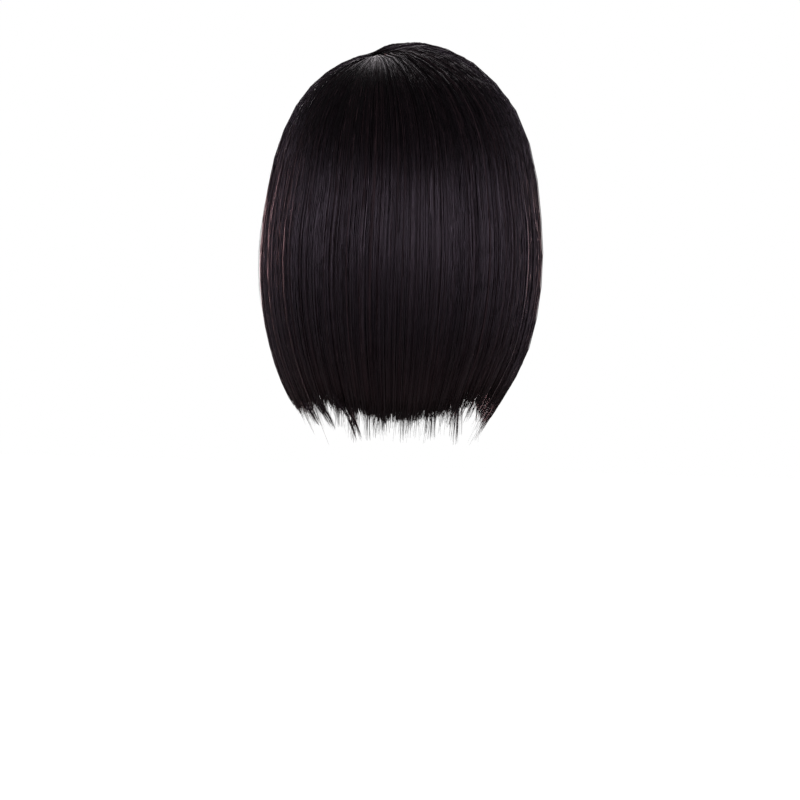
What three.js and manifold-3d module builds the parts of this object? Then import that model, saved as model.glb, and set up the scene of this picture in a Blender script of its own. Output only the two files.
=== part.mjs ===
// Side-parted bob wig: a lace front and a net cap, with straight hair in four sections laid over them.
// Millimetres, +Z up. The wig's front is towards -Y, so its left side, as worn, is +X.
// The origin is the innermost point of the cap's crown, where the wig is held up when worn.
import * as THREE from "three";
import { mergeVertices } from "three/addons/utils/BufferGeometryUtils.js";
import Module from "manifold-3d";

const wasm = await Module();
wasm.setup();
const { lerp, smoothstep, degToRad, radToDeg, seededRandom } = THREE.MathUtils;

// Driving sizes
const CAP_WALL = 1.5; // net or lace with the tracks of hair sewn to it
const HAIR_GAP = 1.1; // between the cap and the hair laid over it
const SEAM_GAP = 0.4; // between neighbouring pieces
const OUTLINE_POWER = 2.25; // 2 would be an ellipse, and the cap is a little squarer

// Outlines of the inside of the cap, from the crown to past the rim: reach from the axis to each side
const CAP_ROWS = [
  { level: 0, side: 0, back: 0, front: 0 },
  { level: -5, side: 33, back: 41, front: 38 },
  { level: -20, side: 58, back: 72, front: 66 },
  { level: -45, side: 72, back: 91, front: 84 },
  { level: -75, side: 77.5, back: 99, front: 91 },
  { level: -105, side: 78, back: 99, front: 93 },
  { level: -135, side: 74, back: 90, front: 89 },
  { level: -160, side: 67, back: 78, front: 82 },
  { level: -185, side: 60, back: 68, front: 76 },
];

// The cap's rim, by azimuth from the centre back: nape, ear notch, ear tab, temple, front
const RIM_ROWS = [
  { azimuth: 0, level: -172 },
  { azimuth: 35, level: -168 },
  { azimuth: 68, level: -128 },
  { azimuth: 90, level: -106 },
  { azimuth: 110, level: -120 },
  { azimuth: 128, level: -88 },
  { azimuth: 150, level: -56 },
  { azimuth: 180, level: -48 },
];
const CAP_COLUMNS = 48;
const CAP_STEPS = 9;

// The seam between lace front and net cap runs over the crown from one ear notch to the other
const LACE_SEAM_Y = -28;
const LACE_SEAM_TILT = 5; // degrees, so that it meets the rim nearer the ear notch

// The outside of the hair, to the photographed outline; the hem lies among the last rows
const HAIR_ROWS = [
  { level: 12, side: 0, back: 0, front: 0 },
  { level: 9.5, side: 17.5, back: 24, front: 21 },
  { level: 3, side: 35, back: 45, front: 40 },
  { level: -10, side: 54.5, back: 69, front: 62 },
  { level: -32, side: 74, back: 93, front: 83 },
  { level: -66, side: 88, back: 111, front: 98 },
  { level: -105, side: 94.5, back: 117, front: 104 },
  { level: -140, side: 97, back: 116, front: 102 },
  { level: -175, side: 94.5, back: 110, front: 97 },
  { level: -205, side: 87.5, back: 101, front: 90 },
  { level: -230, side: 77, back: 88, front: 81 },
  { level: -255, side: 63, back: 74, front: 70 },
  { level: -280, side: 48, back: 60, front: 58 },
];

// The inside of the hair below the cap's widest line, where it hangs free
const HAIR_LINING_ROWS = [
  { level: -140, side: 83, back: 103, front: 94 },
  { level: -175, side: 83, back: 98, front: 88 },
  { level: -205, side: 77, back: 90, front: 80 },
  { level: -230, side: 67, back: 78, front: 72 },
  { level: -255, side: 55, back: 66, front: 62 },
  { level: -280, side: 42, back: 53, front: 51 },
];

// The inside of the nape hair below the cap's rim, where it hangs almost straight down
const NAPE_LINING_ROWS = [
  { level: -215, side: 58, back: 63, front: 70 },
  { level: -245, side: 57, back: 60, front: 66 },
  { level: -275, side: 57, back: 58, front: 64 },
];

// Parting and whorl, in plan
const WHORL_X = 20; // towards the left
const WHORL_Y = 38.5;
const WHORL_RADIUS = 5.5;
const PART_FRONT_X = 33;
const PART_FRONT_Y = -75;
const PART_BOW = 5; // how far the parting bends outwards midway
const PART_HALF_WIDTH = 1.2;
const PART_NARROWING = 0.25; // share of the parting over which it narrows from the whorl

// Where the sections of hair meet and end, in degrees from the centre back
const BACK_EDGE = 34;
const FACE_EDGE = 138;
const WHORL_EDGE = 75; // hair further round than this grows from the parting
const NAPE_EDGE = 44;

const HANG_LEVEL = -105; // above it hair lies on the cap, below it hair hangs
const NAPE_TOP_LEVEL = -128;
const NAPE_HEM_LEVEL = -252;

// The cut of the hem, from the right side of the face round the back to the left: longest in the middle
// of the back, and shortest at the notches between back and sides
const HEM_ROWS = [
  { azimuth: -138, level: -239 },
  { azimuth: -85, level: -239 },
  { azimuth: -62, level: -241 },
  { azimuth: -48, level: -238 },
  { azimuth: -37, level: -232 },
  { azimuth: -26, level: -241 },
  { azimuth: -4, level: -247 },
  { azimuth: 20, level: -243 },
  { azimuth: 29, level: -240 },
  { azimuth: 37, level: -233 },
  { azimuth: 47, level: -236 },
  { azimuth: 85, level: -235 },
  { azimuth: 138, level: -233 },
];

// Rise of the hair at its roots and thinning towards the face and the tips
const ROOT_DEPTH = 0.46; // share of the full thickness
const WHORL_DEPTH = 0.32; // the same behind the whorl, where the hair dips
const DIP_START = 40; // degrees over which the dip runs out
const DIP_END = 85;
const LEFT_RISE = 75; // distance from the root to full thickness, flat left of the parting
const RIGHT_RISE = 10; // and full to the right of it
const WHORL_RISE = 28; // the same round the whorl
const WHORL_RISE_EDGE = 105; // degrees where that has run out, along the parting
const RIDGE_RISE = 72; // distance from the root to full ridges
const FACE_DEPTH = 0.45;
const FACE_TAPER = 16; // degrees
const FACE_FALL = 0.7; // how much the hair beside the face falls straight, rather than turning in
const FACE_FALL_EDGE = 105; // degrees
const TIP_TAPER = 45; // length of the thinning tips
const LEFT_TIP = 0.95; // share of the thickness where the outer tips end, either side
const RIGHT_TIP = 0.72;
const INNER_TIP = 0.42; // and where the inner tips end

// Locks: four columns each, from a valley over a ridge to the next valley
const LOCK_COLUMNS = [
  { share: 0, crest: 0 },
  { share: 0.22, crest: 0.7 },
  { share: 0.5, crest: 1 },
  { share: 0.78, crest: 0.7 },
];
const LOCK_RIDGE = 1.5; // height of a ridge over its valleys
const LOCK_TIP = 8; // length of a pointed tip
const LOCK_SPREAD = 0.5; // how much ridges, tips and widths differ
const PATH_POINTS = 24; // along a hair's way over the dome
const ROOT_STEP = 0.05; // a first step close to the root
const DOME_STEPS = 10;
const HANG_STEPS = 6;
const NAPE_STEPS = 6;
const NAPE_THICKNESS = 5;
const NAPE_TIP_THICKNESS = 2;
const NAPE_SWELL = 0.2; // shares of the nape hair's length over which it thickens and thins
const NAPE_THINNING = 0.5;

// Sections of the hair
const HAIR_SECTIONS = [
  { name: "hair_back", from: -BACK_EDGE, to: BACK_EDGE, locks: 9, seed: 11 },
  { name: "hair_left", from: BACK_EDGE, to: FACE_EDGE, locks: 10, seed: 47 },
  { name: "hair_right", from: -FACE_EDGE, to: -BACK_EDGE, locks: 10, seed: 83 },
];
const NAPE_LOCKS = 10;
const NAPE_SEED = 131;

// Precision of the shapes
const MERGE_DISTANCE = 1e-4;
const HALVINGS = 30; // of a range, to find a crossing in it
const CUTTER_SIZE = 400; // larger than the cap

// Finishes
const BLACK_HAIR = new THREE.MeshStandardMaterial({ color: 0x17130f, roughness: 0.42, metalness: 0 });
const BLACK_NET = new THREE.MeshStandardMaterial({ color: 0x1d1a19, roughness: 0.85, metalness: 0 });
const BROWN_LACE = new THREE.MeshStandardMaterial({ color: 0x8a6248, roughness: 0.8, metalness: 0 });

// Smooth curve through evenly counted values, at position t
function throughValues(values, t) {
  const i = Math.min(Math.floor(t), values.length - 2);
  const f = t - i;
  const [p1, p2] = [values[i], values[i + 1]];
  const before = i > 0 ? values[i - 1] : 2 * p1 - p2;
  const after = i + 2 < values.length ? values[i + 2] : 2 * p2 - p1;
  const [m1, m2] = [(p2 - before) / 2, (after - p1) / 2];
  return p1 + m1 * f + (3 * (p2 - p1) - 2 * m1 - m2) * f ** 2 + (2 * (p1 - p2) + m1 + m2) * f ** 3;
}

// Finds where a function that falls along a range becomes zero
function crossing(fall, low, high) {
  for (let i = 0; i < HALVINGS; i++) {
    const middle = (low + high) / 2;
    if (fall(middle) > 0) low = middle;
    else high = middle;
  }
  return (low + high) / 2;
}

// Level from a table of azimuths, which serves both sides if it starts at the centre back
function levelAround(rows, azimuth) {
  const turn = rows[0].azimuth === 0 ? Math.abs(azimuth) : azimuth;
  const next = Math.max(1, rows.findIndex((row) => row.azimuth >= turn));
  const [a, b] = [rows[next - 1], rows[next]];
  return lerp(a.level, b.level, smoothstep(turn, a.azimuth, b.azimuth));
}

// A skin through rows of outlines round the vertical axis
class Skin {
  constructor(rows) {
    const apex = rows[0].side === 0;
    const [, { level, side, back, front }] = rows;
    const mirrored = { level, side: -side, back: -back, front: -front };
    this.first = apex ? 1 : 0; // a mirrored row ahead of the apex rounds it off
    this.rows = apex ? [mirrored, ...rows] : rows;
    this.last = this.rows.length - 1;
  }
  column(name, t) {
    return throughValues(this.rows.map((row) => row[name]), t);
  }
  reach(azimuth, t) {
    const [across, along] = [Math.sin(degToRad(azimuth)), Math.cos(degToRad(azimuth))];
    const depth = this.column(along > 0 ? "back" : "front", t);
    const acrossShare = (Math.abs(across) / this.column("side", t)) ** OUTLINE_POWER;
    const alongShare = (Math.abs(along) / depth) ** OUTLINE_POWER;
    return (acrossShare + alongShare) ** (-1 / OUTLINE_POWER);
  }
  rowAt(level) {
    return crossing((t) => this.column("level", t) - level, this.first, this.last);
  }
  point(azimuth, t) {
    const reach = t <= this.first && this.first ? 0 : this.reach(azimuth, t);
    const turn = degToRad(azimuth);
    return new THREE.Vector3(reach * Math.sin(turn), reach * Math.cos(turn), this.column("level", t));
  }
  atLevel(azimuth, level) {
    return this.point(azimuth, this.rowAt(level));
  }
  // The point of the dome that lies over a plan position
  over(x, y) {
    const azimuth = radToDeg(Math.atan2(x, y));
    const away = Math.hypot(x, y);
    const short = (t) => away - this.reach(azimuth, t);
    const t = crossing(short, this.first + MERGE_DISTANCE, this.rowAt(HANG_LEVEL));
    return new THREE.Vector3(x, y, this.column("level", t));
  }
}

// The same outlines moved outwards by a distance
function inflated(rows, distance) {
  return rows.map((row, i) => {
    const before = rows[i - 1] ?? { level: rows[1].level, side: -rows[1].side };
    const after = rows[i + 1] ?? row;
    const across = after.side - before.side;
    const down = before.level - after.level;
    const size = Math.hypot(across, down) || 1;
    const out = i === 0 ? 0 : (distance * down) / size;
    const up = (distance * Math.max(across, 0)) / size;
    const moved = (value) => value + (i === 0 ? 0 : Math.max(out, 0));
    return { level: row.level + up, side: moved(row.side), back: moved(row.back), front: moved(row.front) };
  });
}

// Closes two facing grids of points, indexed [column][row], into one solid's geometry.
// Columns run clockwise seen from above and rows run downwards, so the quads are wound to face out.
function shellGeometry(outside, inside, wraps) {
  const columns = outside.length;
  const rows = outside[0].length;
  const corners = [];
  const quad = (a, b, c, d) => corners.push(a, c, b, a, d, c);
  const beside = (i) => (i + 1) % columns;
  for (let i = 0; i < (wraps ? columns : columns - 1); i++) {
    const n = beside(i);
    for (let j = 0; j < rows - 1; j++) {
      quad(outside[i][j], outside[i][j + 1], outside[n][j + 1], outside[n][j]);
      quad(inside[i][j], inside[n][j], inside[n][j + 1], inside[i][j + 1]);
    }
    quad(outside[i][rows - 1], inside[i][rows - 1], inside[n][rows - 1], outside[n][rows - 1]);
    if (!wraps) quad(outside[i][0], outside[n][0], inside[n][0], inside[i][0]);
  }
  for (let j = 0; !wraps && j < rows - 1; j++) {
    const end = columns - 1;
    quad(outside[0][j], inside[0][j], inside[0][j + 1], outside[0][j + 1]);
    quad(outside[end][j], outside[end][j + 1], inside[end][j + 1], inside[end][j]);
  }
  const loose = new THREE.BufferGeometry().setFromPoints(corners);
  const merged = mergeVertices(loose, MERGE_DISTANCE);
  const kept = [];
  for (let i = 0; i < merged.index.count; i += 3) {
    const [a, b, c] = merged.index.array.slice(i, i + 3);
    if (a !== b && b !== c && c !== a) kept.push(a, b, c); // the fan at a dome's apex
  }
  merged.setIndex(kept);
  return merged;
}

function solidOf(geometry) {
  const bare = new THREE.BufferGeometry().setAttribute("position", geometry.getAttribute("position"));
  const merged = mergeVertices(bare.setIndex(geometry.index), MERGE_DISTANCE);
  const vertProperties = merged.getAttribute("position").array;
  return new wasm.Manifold(
    new wasm.Mesh({ numProp: 3, vertProperties, triVerts: new Uint32Array(merged.index.array) }),
  );
}

function geometryOf(solid) {
  const mesh = solid.getMesh();
  return new THREE.BufferGeometry()
    .setAttribute("position", new THREE.BufferAttribute(mesh.vertProperties, 3))
    .setIndex(new THREE.BufferAttribute(mesh.triVerts, 1));
}

function namedMesh(name, geometry, material) {
  geometry.computeVertexNormals();
  const mesh = new THREE.Mesh(geometry, material);
  mesh.name = name;
  return mesh;
}

const capLining = new Skin(CAP_ROWS);
const capSkin = new Skin(inflated(CAP_ROWS, CAP_WALL));
const rootRows = inflated(CAP_ROWS, CAP_WALL + HAIR_GAP);
const widest = CAP_ROWS.findIndex((row) => row.level === HANG_LEVEL) + 1;
const hairLining = new Skin([...rootRows.slice(0, widest), ...HAIR_LINING_ROWS]);
const hairSkin = new Skin(HAIR_ROWS);
const napeLining = new Skin([...rootRows.slice(widest - 1), ...NAPE_LINING_ROWS]);

// The cap: one domed wall with a shaped rim, in two panels that meet at the lace seam
function capPanels() {
  const wall = (skin) =>
    Array.from({ length: CAP_COLUMNS }, (_, i) => {
      const azimuth = (360 * i) / CAP_COLUMNS - 180;
      const rim = skin.rowAt(levelAround(RIM_ROWS, azimuth));
      const rows = Array.from({ length: CAP_STEPS + 1 }, (_, j) => lerp(skin.first, rim, j / CAP_STEPS));
      return rows.map((t) => skin.point(azimuth, t));
    });
  const cap = solidOf(shellGeometry(wall(capSkin), wall(capLining), true));
  const halfSpace = (ahead) => {
    const block = new THREE.BoxGeometry(CUTTER_SIZE, CUTTER_SIZE, CUTTER_SIZE);
    block.translate(0, (ahead * (CUTTER_SIZE + SEAM_GAP)) / 2, 0);
    return solidOf(block.rotateX(degToRad(LACE_SEAM_TILT)).translate(0, LACE_SEAM_Y, 0));
  };
  return { lace: geometryOf(cap.intersect(halfSpace(-1))), net: geometryOf(cap.intersect(halfSpace(1))) };
}

// Where the hair of one azimuth leaves the cap, in plan: round the whorl, then forward along the parting
function rootOf(azimuth) {
  const turn = Math.abs(azimuth);
  const side = azimuth < 0 ? -1 : 1;
  if (turn <= WHORL_EDGE) {
    const angle = ((turn / WHORL_EDGE) * Math.PI) / 2;
    return [WHORL_X + side * WHORL_RADIUS * Math.sin(angle), WHORL_Y + WHORL_RADIUS * Math.cos(angle)];
  }
  const along = (turn - WHORL_EDGE) / (FACE_EDGE - WHORL_EDGE);
  const halfWidth = lerp(WHORL_RADIUS, PART_HALF_WIDTH, smoothstep(along, 0, PART_NARROWING));
  const middle = lerp(WHORL_X, PART_FRONT_X, along) + PART_BOW * Math.sin(Math.PI * along);
  return [middle + side * halfWidth, lerp(WHORL_Y, PART_FRONT_Y, along)];
}

// A hair's way over the dome of the cap along a skin, straight in plan from its root to the hang level
function domePath(skin, azimuth) {
  const [rootX, rootY] = rootOf(azimuth);
  const shoulder = skin.atLevel(azimuth, HANG_LEVEL);
  const points = Array.from({ length: PATH_POINTS }, (_, i) => {
    const share = Math.sin(((i / PATH_POINTS) * Math.PI) / 2);
    return skin.over(lerp(rootX, shoulder.x, share), lerp(rootY, shoulder.y, share));
  });
  return new THREE.CatmullRomCurve3([...points, shoulder]);
}

// A point of one hair's path along a skin: step 0 is the root, 1 the hang level and 2 the hem
function alongSkin(skin, azimuth, step, hem) {
  if (step < 1) return domePath(skin, azimuth).getPointAt(step);
  const level = lerp(HANG_LEVEL, hem, step - 1);
  const straight = FACE_FALL * smoothstep(Math.abs(azimuth), FACE_FALL_EDGE, FACE_EDGE);
  return skin.atLevel(azimuth, level).lerp(skin.atLevel(azimuth, HANG_LEVEL).setZ(level), straight);
}

// Valleys and ridges across a section, as columns of shares of its width
function lockColumns(locks, seed) {
  const widths = Array.from({ length: locks }, (_, i) => 1 + LOCK_SPREAD * (seededRandom(seed + i) - 0.5));
  const total = widths.reduce((sum, width) => sum + width, 0);
  const columns = [];
  let start = 0;
  widths.forEach((width, i) => {
    const strength = 1 + LOCK_SPREAD * (2 * seededRandom(seed + locks + i) - 1);
    for (const { share, crest } of LOCK_COLUMNS)
      columns.push({ share: (start + share * width) / total, ridge: crest * strength });
    start += width;
  });
  return [...columns, { share: 1, ridge: 0 }];
}

// One section of hair between two azimuths, from its roots to its ragged hem
function hairSection({ from, to, locks, seed }) {
  const steps = [
    0,
    ROOT_STEP,
    ...Array.from({ length: DOME_STEPS - 1 }, (_, j) => (j + 1) / DOME_STEPS),
    ...Array.from({ length: HANG_STEPS + 1 }, (_, j) => 1 + j / HANG_STEPS),
  ];
  const middle = (from + to) / 2;
  const insets = steps.map((step) => {
    const hem = levelAround(HEM_ROWS, middle);
    const degreeAway = alongSkin(hairLining, middle + 1, step, hem);
    return SEAM_GAP / 2 / alongSkin(hairLining, middle, step, hem).distanceTo(degreeAway);
  });
  const outside = [];
  const inside = [];
  for (const { share, ridge } of lockColumns(locks, seed)) {
    const sheets = steps.map((step, j) => {
      const azimuth = lerp(from + insets[j], to - insets[j], share);
      const hem = levelAround(HEM_ROWS, azimuth) - LOCK_TIP * ridge;
      const inner = alongSkin(hairLining, azimuth, step, hem);
      const outer = alongSkin(hairSkin, azimuth, step, hem);
      const [rootX, rootY] = rootOf(azimuth);
      const grown = Math.hypot(outer.x - rootX, outer.y - rootY);
      const turn = Math.abs(azimuth);
      const sideReach = lerp(RIGHT_RISE, LEFT_RISE, smoothstep(azimuth, -BACK_EDGE, BACK_EDGE));
      const whorlReach = WHORL_RISE * (1 - smoothstep(turn, WHORL_EDGE, WHORL_RISE_EDGE));
      const rootDepth = lerp(WHORL_DEPTH, ROOT_DEPTH, smoothstep(turn, DIP_START, DIP_END));
      const rise = lerp(rootDepth, 1, smoothstep(grown, 0, Math.max(sideReach, whorlReach)));
      const face = lerp(FACE_DEPTH, 1, smoothstep(FACE_EDGE - turn, 0, FACE_TAPER));
      const tip = step > 1 ? smoothstep(outer.z, hem, hem + TIP_TAPER) : 1;
      const outerTip = lerp(RIGHT_TIP, LEFT_TIP, smoothstep(azimuth, -BACK_EDGE, 2 * BACK_EDGE));
      const thickness = inner.distanceTo(outer);
      const relief = (LOCK_RIDGE * ridge * smoothstep(grown, 0, RIDGE_RISE)) / thickness;
      return {
        outer: inner.clone().lerp(outer, rise * face * lerp(outerTip, 1, tip) + relief),
        inner: inner.clone().lerp(outer, lerp(INNER_TIP * face, 0, tip)),
      };
    });
    outside.push(sheets.map((sheet) => sheet.outer));
    inside.push(sheets.map((sheet) => sheet.inner));
  }
  return shellGeometry(outside, inside, false);
}

// The short under-layer at the nape, sewn to the cap's back and hanging below its rim
function napeSection() {
  const outside = [];
  const inside = [];
  for (const { share, ridge } of lockColumns(NAPE_LOCKS, NAPE_SEED)) {
    const azimuth = lerp(-NAPE_EDGE, NAPE_EDGE, share);
    const hem = NAPE_HEM_LEVEL - LOCK_TIP * ridge;
    const path = Array.from({ length: NAPE_STEPS + 1 }, (_, j) => j / NAPE_STEPS);
    const lining = path.map((step) => napeLining.atLevel(azimuth, lerp(NAPE_TOP_LEVEL, hem, step)));
    const outward = new THREE.Vector3(Math.sin(degToRad(azimuth)), Math.cos(degToRad(azimuth)), 0);
    inside.push(lining);
    outside.push(
      lining.map((point, j) => {
        const body = smoothstep(path[j], 0, NAPE_SWELL) * smoothstep(1 - path[j], 0, NAPE_THINNING);
        const thickness = lerp(NAPE_TIP_THICKNESS, NAPE_THICKNESS, body) + (LOCK_RIDGE * ridge) / 2;
        return point.clone().addScaledVector(outward, thickness);
      }),
    );
  }
  return shellGeometry(outside, inside, false);
}

const wig = new THREE.Group();
const panels = capPanels();
wig.add(
  namedMesh("lace_front", panels.lace, BROWN_LACE),
  namedMesh("net_cap", panels.net, BLACK_NET),
  ...HAIR_SECTIONS.map((section) => namedMesh(section.name, hairSection(section), BLACK_HAIR)),
  namedMesh("hair_nape", napeSection(), BLACK_HAIR),
);

export default wig;
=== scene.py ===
import bmesh
import bpy
import numpy as np
from mathutils import Matrix, Vector


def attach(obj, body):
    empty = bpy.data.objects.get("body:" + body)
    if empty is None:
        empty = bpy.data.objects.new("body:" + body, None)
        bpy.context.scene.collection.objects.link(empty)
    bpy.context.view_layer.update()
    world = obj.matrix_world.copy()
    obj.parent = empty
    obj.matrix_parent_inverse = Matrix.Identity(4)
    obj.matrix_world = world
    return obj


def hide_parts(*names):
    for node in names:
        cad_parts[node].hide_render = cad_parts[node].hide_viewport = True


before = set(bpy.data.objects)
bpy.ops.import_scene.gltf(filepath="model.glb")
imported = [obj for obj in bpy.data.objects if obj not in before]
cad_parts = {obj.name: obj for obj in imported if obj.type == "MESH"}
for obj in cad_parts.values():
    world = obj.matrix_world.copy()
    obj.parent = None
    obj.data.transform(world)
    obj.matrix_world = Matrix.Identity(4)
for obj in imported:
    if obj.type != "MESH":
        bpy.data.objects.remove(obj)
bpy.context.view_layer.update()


# Net cap
# A dome of black stretch net that carries the rows of hair. It is knitted in six-sided meshes, sewn to
# the lace front in one seam from ear to ear, and bound with a tape at nape and ears.

CAP_WALL = 0.0015
OUTLINE_POWER = 2.25  # 2 would be an ellipse, and a cap is a little squarer
OUTLINE_COLUMNS = [("level", float), ("side", float), ("back", float), ("front", float)]
RIM_COLUMNS = [("azimuth", float), ("level", float)]

# The inside of the cap, from the crown down: reach from the axis to each side
CAP_ROWS = np.array(
    [
        (0.000, 0.0000, 0.000, 0.000),
        (-0.005, 0.0330, 0.041, 0.038),
        (-0.020, 0.0580, 0.072, 0.066),
        (-0.045, 0.0720, 0.091, 0.084),
        (-0.075, 0.0775, 0.099, 0.091),
        (-0.105, 0.0780, 0.099, 0.093),
        (-0.135, 0.0740, 0.090, 0.089),
        (-0.160, 0.0670, 0.078, 0.082),
        (-0.185, 0.0600, 0.068, 0.076),
    ],
    OUTLINE_COLUMNS,
)

# The cap's rim, by degrees from the centre back: nape, ear, ear tab, temple, front
RIM_ROWS = np.array(
    [
        (0, -0.172),
        (35, -0.168),
        (68, -0.128),
        (90, -0.106),
        (110, -0.120),
        (128, -0.088),
        (150, -0.056),
        (180, -0.048),
    ],
    RIM_COLUMNS,
)
LACE_SEAM_Y = -0.028
LACE_SEAM_SLOPE = np.tan(np.radians(5))  # the seam leans, so that it meets the rim nearer the ear

SURFACE_STEPS = 4000  # levels by which a surface is looked up
CROWN_GAP = 1e-4  # how far from a dome's point its rows start
HALVINGS = 30  # rounds of a search between two bounds


def lerp(a, b, share):
    return a + (b - a) * share


def eased(value, low, high):
    share = np.clip((value - low) / (high - low), 0, 1)
    return share * share * (3 - 2 * share)


def through(values, t):
    """Smooth curve through evenly counted values, at positions t."""
    ends = [2 * values[0] - values[1]], [2 * values[-1] - values[-2]]
    padded = np.concatenate((ends[0], values, ends[1]))
    i = np.clip(np.floor(t).astype(int), 0, len(values) - 2)
    f = t - i
    before, p1, p2, after = (padded[i + k] for k in range(4))
    m1, m2 = (p2 - before) / 2, (after - p1) / 2
    return p1 + m1 * f + (3 * (p2 - p1) - 2 * m1 - m2) * f**2 + (2 * (p1 - p2) + m1 + m2) * f**3


def level_around(rows, azimuth):
    """Level from a table of azimuths, which serves both sides if it starts at the centre back."""
    turn = np.degrees(azimuth)
    turn = np.abs(turn) if rows["azimuth"][0] == 0 else turn
    after = np.clip(np.searchsorted(rows["azimuth"], turn), 1, len(rows) - 1)
    a, b = rows[after - 1], rows[after]
    return lerp(a["level"], b["level"], eased(turn, a["azimuth"], b["azimuth"]))


class Surface:
    """A surface through rows of outlines round the vertical axis, with a dome if they start in a point."""

    def __init__(self, rows):
        self.first = int(rows["side"][0] == 0)
        if self.first:
            mirrored = rows[1:2].copy()
            for side in ("side", "back", "front"):
                mirrored[side] *= -1
            rows = np.concatenate((mirrored, rows))
        self.rows = rows
        self.t = np.linspace(self.first, len(rows) - 1, SURFACE_STEPS)
        self.levels = through(rows["level"], self.t)

    def reach(self, azimuth, t):
        along = np.cos(azimuth)
        back, front = through(self.rows["back"], t), through(self.rows["front"], t)
        across_share = (np.abs(np.sin(azimuth)) / through(self.rows["side"], t)) ** OUTLINE_POWER
        along_share = (np.abs(along) / np.where(along > 0, back, front)) ** OUTLINE_POWER
        return (across_share + along_share) ** (-1 / OUTLINE_POWER)

    def row_at(self, level):
        return np.interp(-level, -self.levels, self.t)

    def point(self, azimuth, t):
        azimuth, t = np.broadcast_arrays(azimuth, np.maximum(t, self.first + CROWN_GAP))
        reach = self.reach(azimuth, t)
        level = through(self.rows["level"], t)
        return np.stack((reach * np.sin(azimuth), reach * np.cos(azimuth), level), -1)

    def at_level(self, azimuth, level):
        return self.point(azimuth, self.row_at(level))

    def over(self, x, y, lowest):
        """The points of the dome, above a level, that lie over plan positions."""
        azimuth, away = np.arctan2(x, y), np.hypot(x, y)
        low = np.full(x.shape, self.first + CROWN_GAP)
        high = np.full(x.shape, self.row_at(lowest))
        for _ in range(HALVINGS):
            middle = (low + high) / 2
            inside = away > self.reach(azimuth, middle)
            low, high = np.where(inside, middle, low), np.where(inside, high, middle)
        return np.stack((x, y, through(self.rows["level"], (low + high) / 2)), -1)


def inflated(rows, distance):
    """The same outlines moved outwards by a distance."""
    moved = rows.copy()
    for i in range(len(rows)):
        before_side = rows["side"][i - 1] if i else -rows["side"][1]
        before_level = rows["level"][i - 1] if i else rows["level"][1]
        after = min(i + 1, len(rows) - 1)
        across, down = rows["side"][after] - before_side, before_level - rows["level"][after]
        size = np.hypot(across, down)
        moved["level"][i] += distance * max(across, 0) / size
        for side in ("side", "back", "front"):
            moved[side][i] += distance * max(down, 0) / size if i else 0
    return moved


cap_surface = Surface(inflated(CAP_ROWS, CAP_WALL / 2))

MAP = "OFBake"
TONES = 96  # columns of a map, one for each shade of thread or hair
TONE_MARGIN = 0.1  # share of a column that is left free at either side
NO_LENGTH = 1e-12  # keeps a direction of no length from dividing by nought


def mesh_piece(name, points, triangles, uv, material):
    """A piece from arrays: points, triangles by their points' numbers, and a map place for each corner."""
    mesh = bpy.data.meshes.new(name)
    mesh.vertices.add(len(points))
    mesh.vertices.foreach_set("co", np.asarray(points, np.float32).ravel())
    mesh.loops.add(triangles.size)
    mesh.loops.foreach_set("vertex_index", np.asarray(triangles, np.int32).ravel())
    mesh.polygons.add(len(triangles))
    mesh.polygons.foreach_set("loop_start", np.arange(0, triangles.size, 3, dtype=np.int32))
    mesh.polygons.foreach_set("use_smooth", np.ones(len(triangles), bool))
    layer = mesh.uv_layers.new(name=MAP)
    layer.data.foreach_set("uv", np.asarray(uv, np.float32).ravel())
    mesh.update(calc_edges=True)
    mesh.materials.append(material)
    piece = bpy.data.objects.new(name, mesh)
    bpy.context.scene.collection.objects.link(piece)
    return piece


def tubes(centres, outward, radii, sides, tones, along, roll=0.0):
    """Closed tubes through rows of centres, by tube and ring, with a radius for each ring.
    Returns points, triangles and their map: across it a column for each tone, and up it the way along."""
    count, rings = centres.shape[:2]
    tangent = np.gradient(centres, axis=1)
    tangent /= np.linalg.norm(tangent, axis=2, keepdims=True) + NO_LENGTH
    across = np.cross(tangent, outward)
    across /= np.linalg.norm(across, axis=2, keepdims=True) + NO_LENGTH
    facing = np.cross(across, tangent)
    turn = 2 * np.pi * np.arange(sides) / sides - np.pi / 2
    turn = turn + np.zeros((count, 1, 1)) + np.reshape(roll, (-1, 1, 1))
    spokes = across[:, :, None] * np.cos(turn)[..., None] + facing[:, :, None] * np.sin(turn)[..., None]
    points = centres[:, :, None] + spokes * radii[:, :, None, None]

    def halves(a, b, c, d):
        """Both triangles of each wall face, from what its four corners have."""
        return np.stack((np.stack((a, b, c), -1), np.stack((b, d, c), -1)), 2).reshape(-1, 3)

    ring, side = np.meshgrid(np.arange(rings - 1), np.arange(sides), indexing="ij")
    a, b = ring * sides + side, ring * sides + (side + 1) % sides
    fan = np.arange(1, sides - 1)
    first_cap = np.stack((0 * fan, fan + 1, fan), -1)
    last_cap = np.stack((0 * fan, fan, fan + 1), -1)
    walls = halves(a, b, a + sides, b + sides)
    local = np.concatenate((walls, first_cap, last_cap + (rings - 1) * sides))
    u = np.concatenate((halves(side, side + 1, side, side + 1), first_cap, last_cap))
    v = halves(ring, ring, ring + 1, ring + 1)
    v = np.concatenate((v, np.zeros_like(first_cap), np.full_like(last_cap, rings - 1)))
    triangles = (local[None] + (np.arange(count) * rings * sides)[:, None, None]).reshape(-1, 3)
    inside_column = TONE_MARGIN + (1 - 2 * TONE_MARGIN) * (u / sides)
    columns = (tones[:, None, None] + inside_column[None]) / TONES
    uv = np.stack((columns, along[:, v]), -1).reshape(-1, 2)
    return points.reshape(-1, 3), triangles, uv


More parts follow.
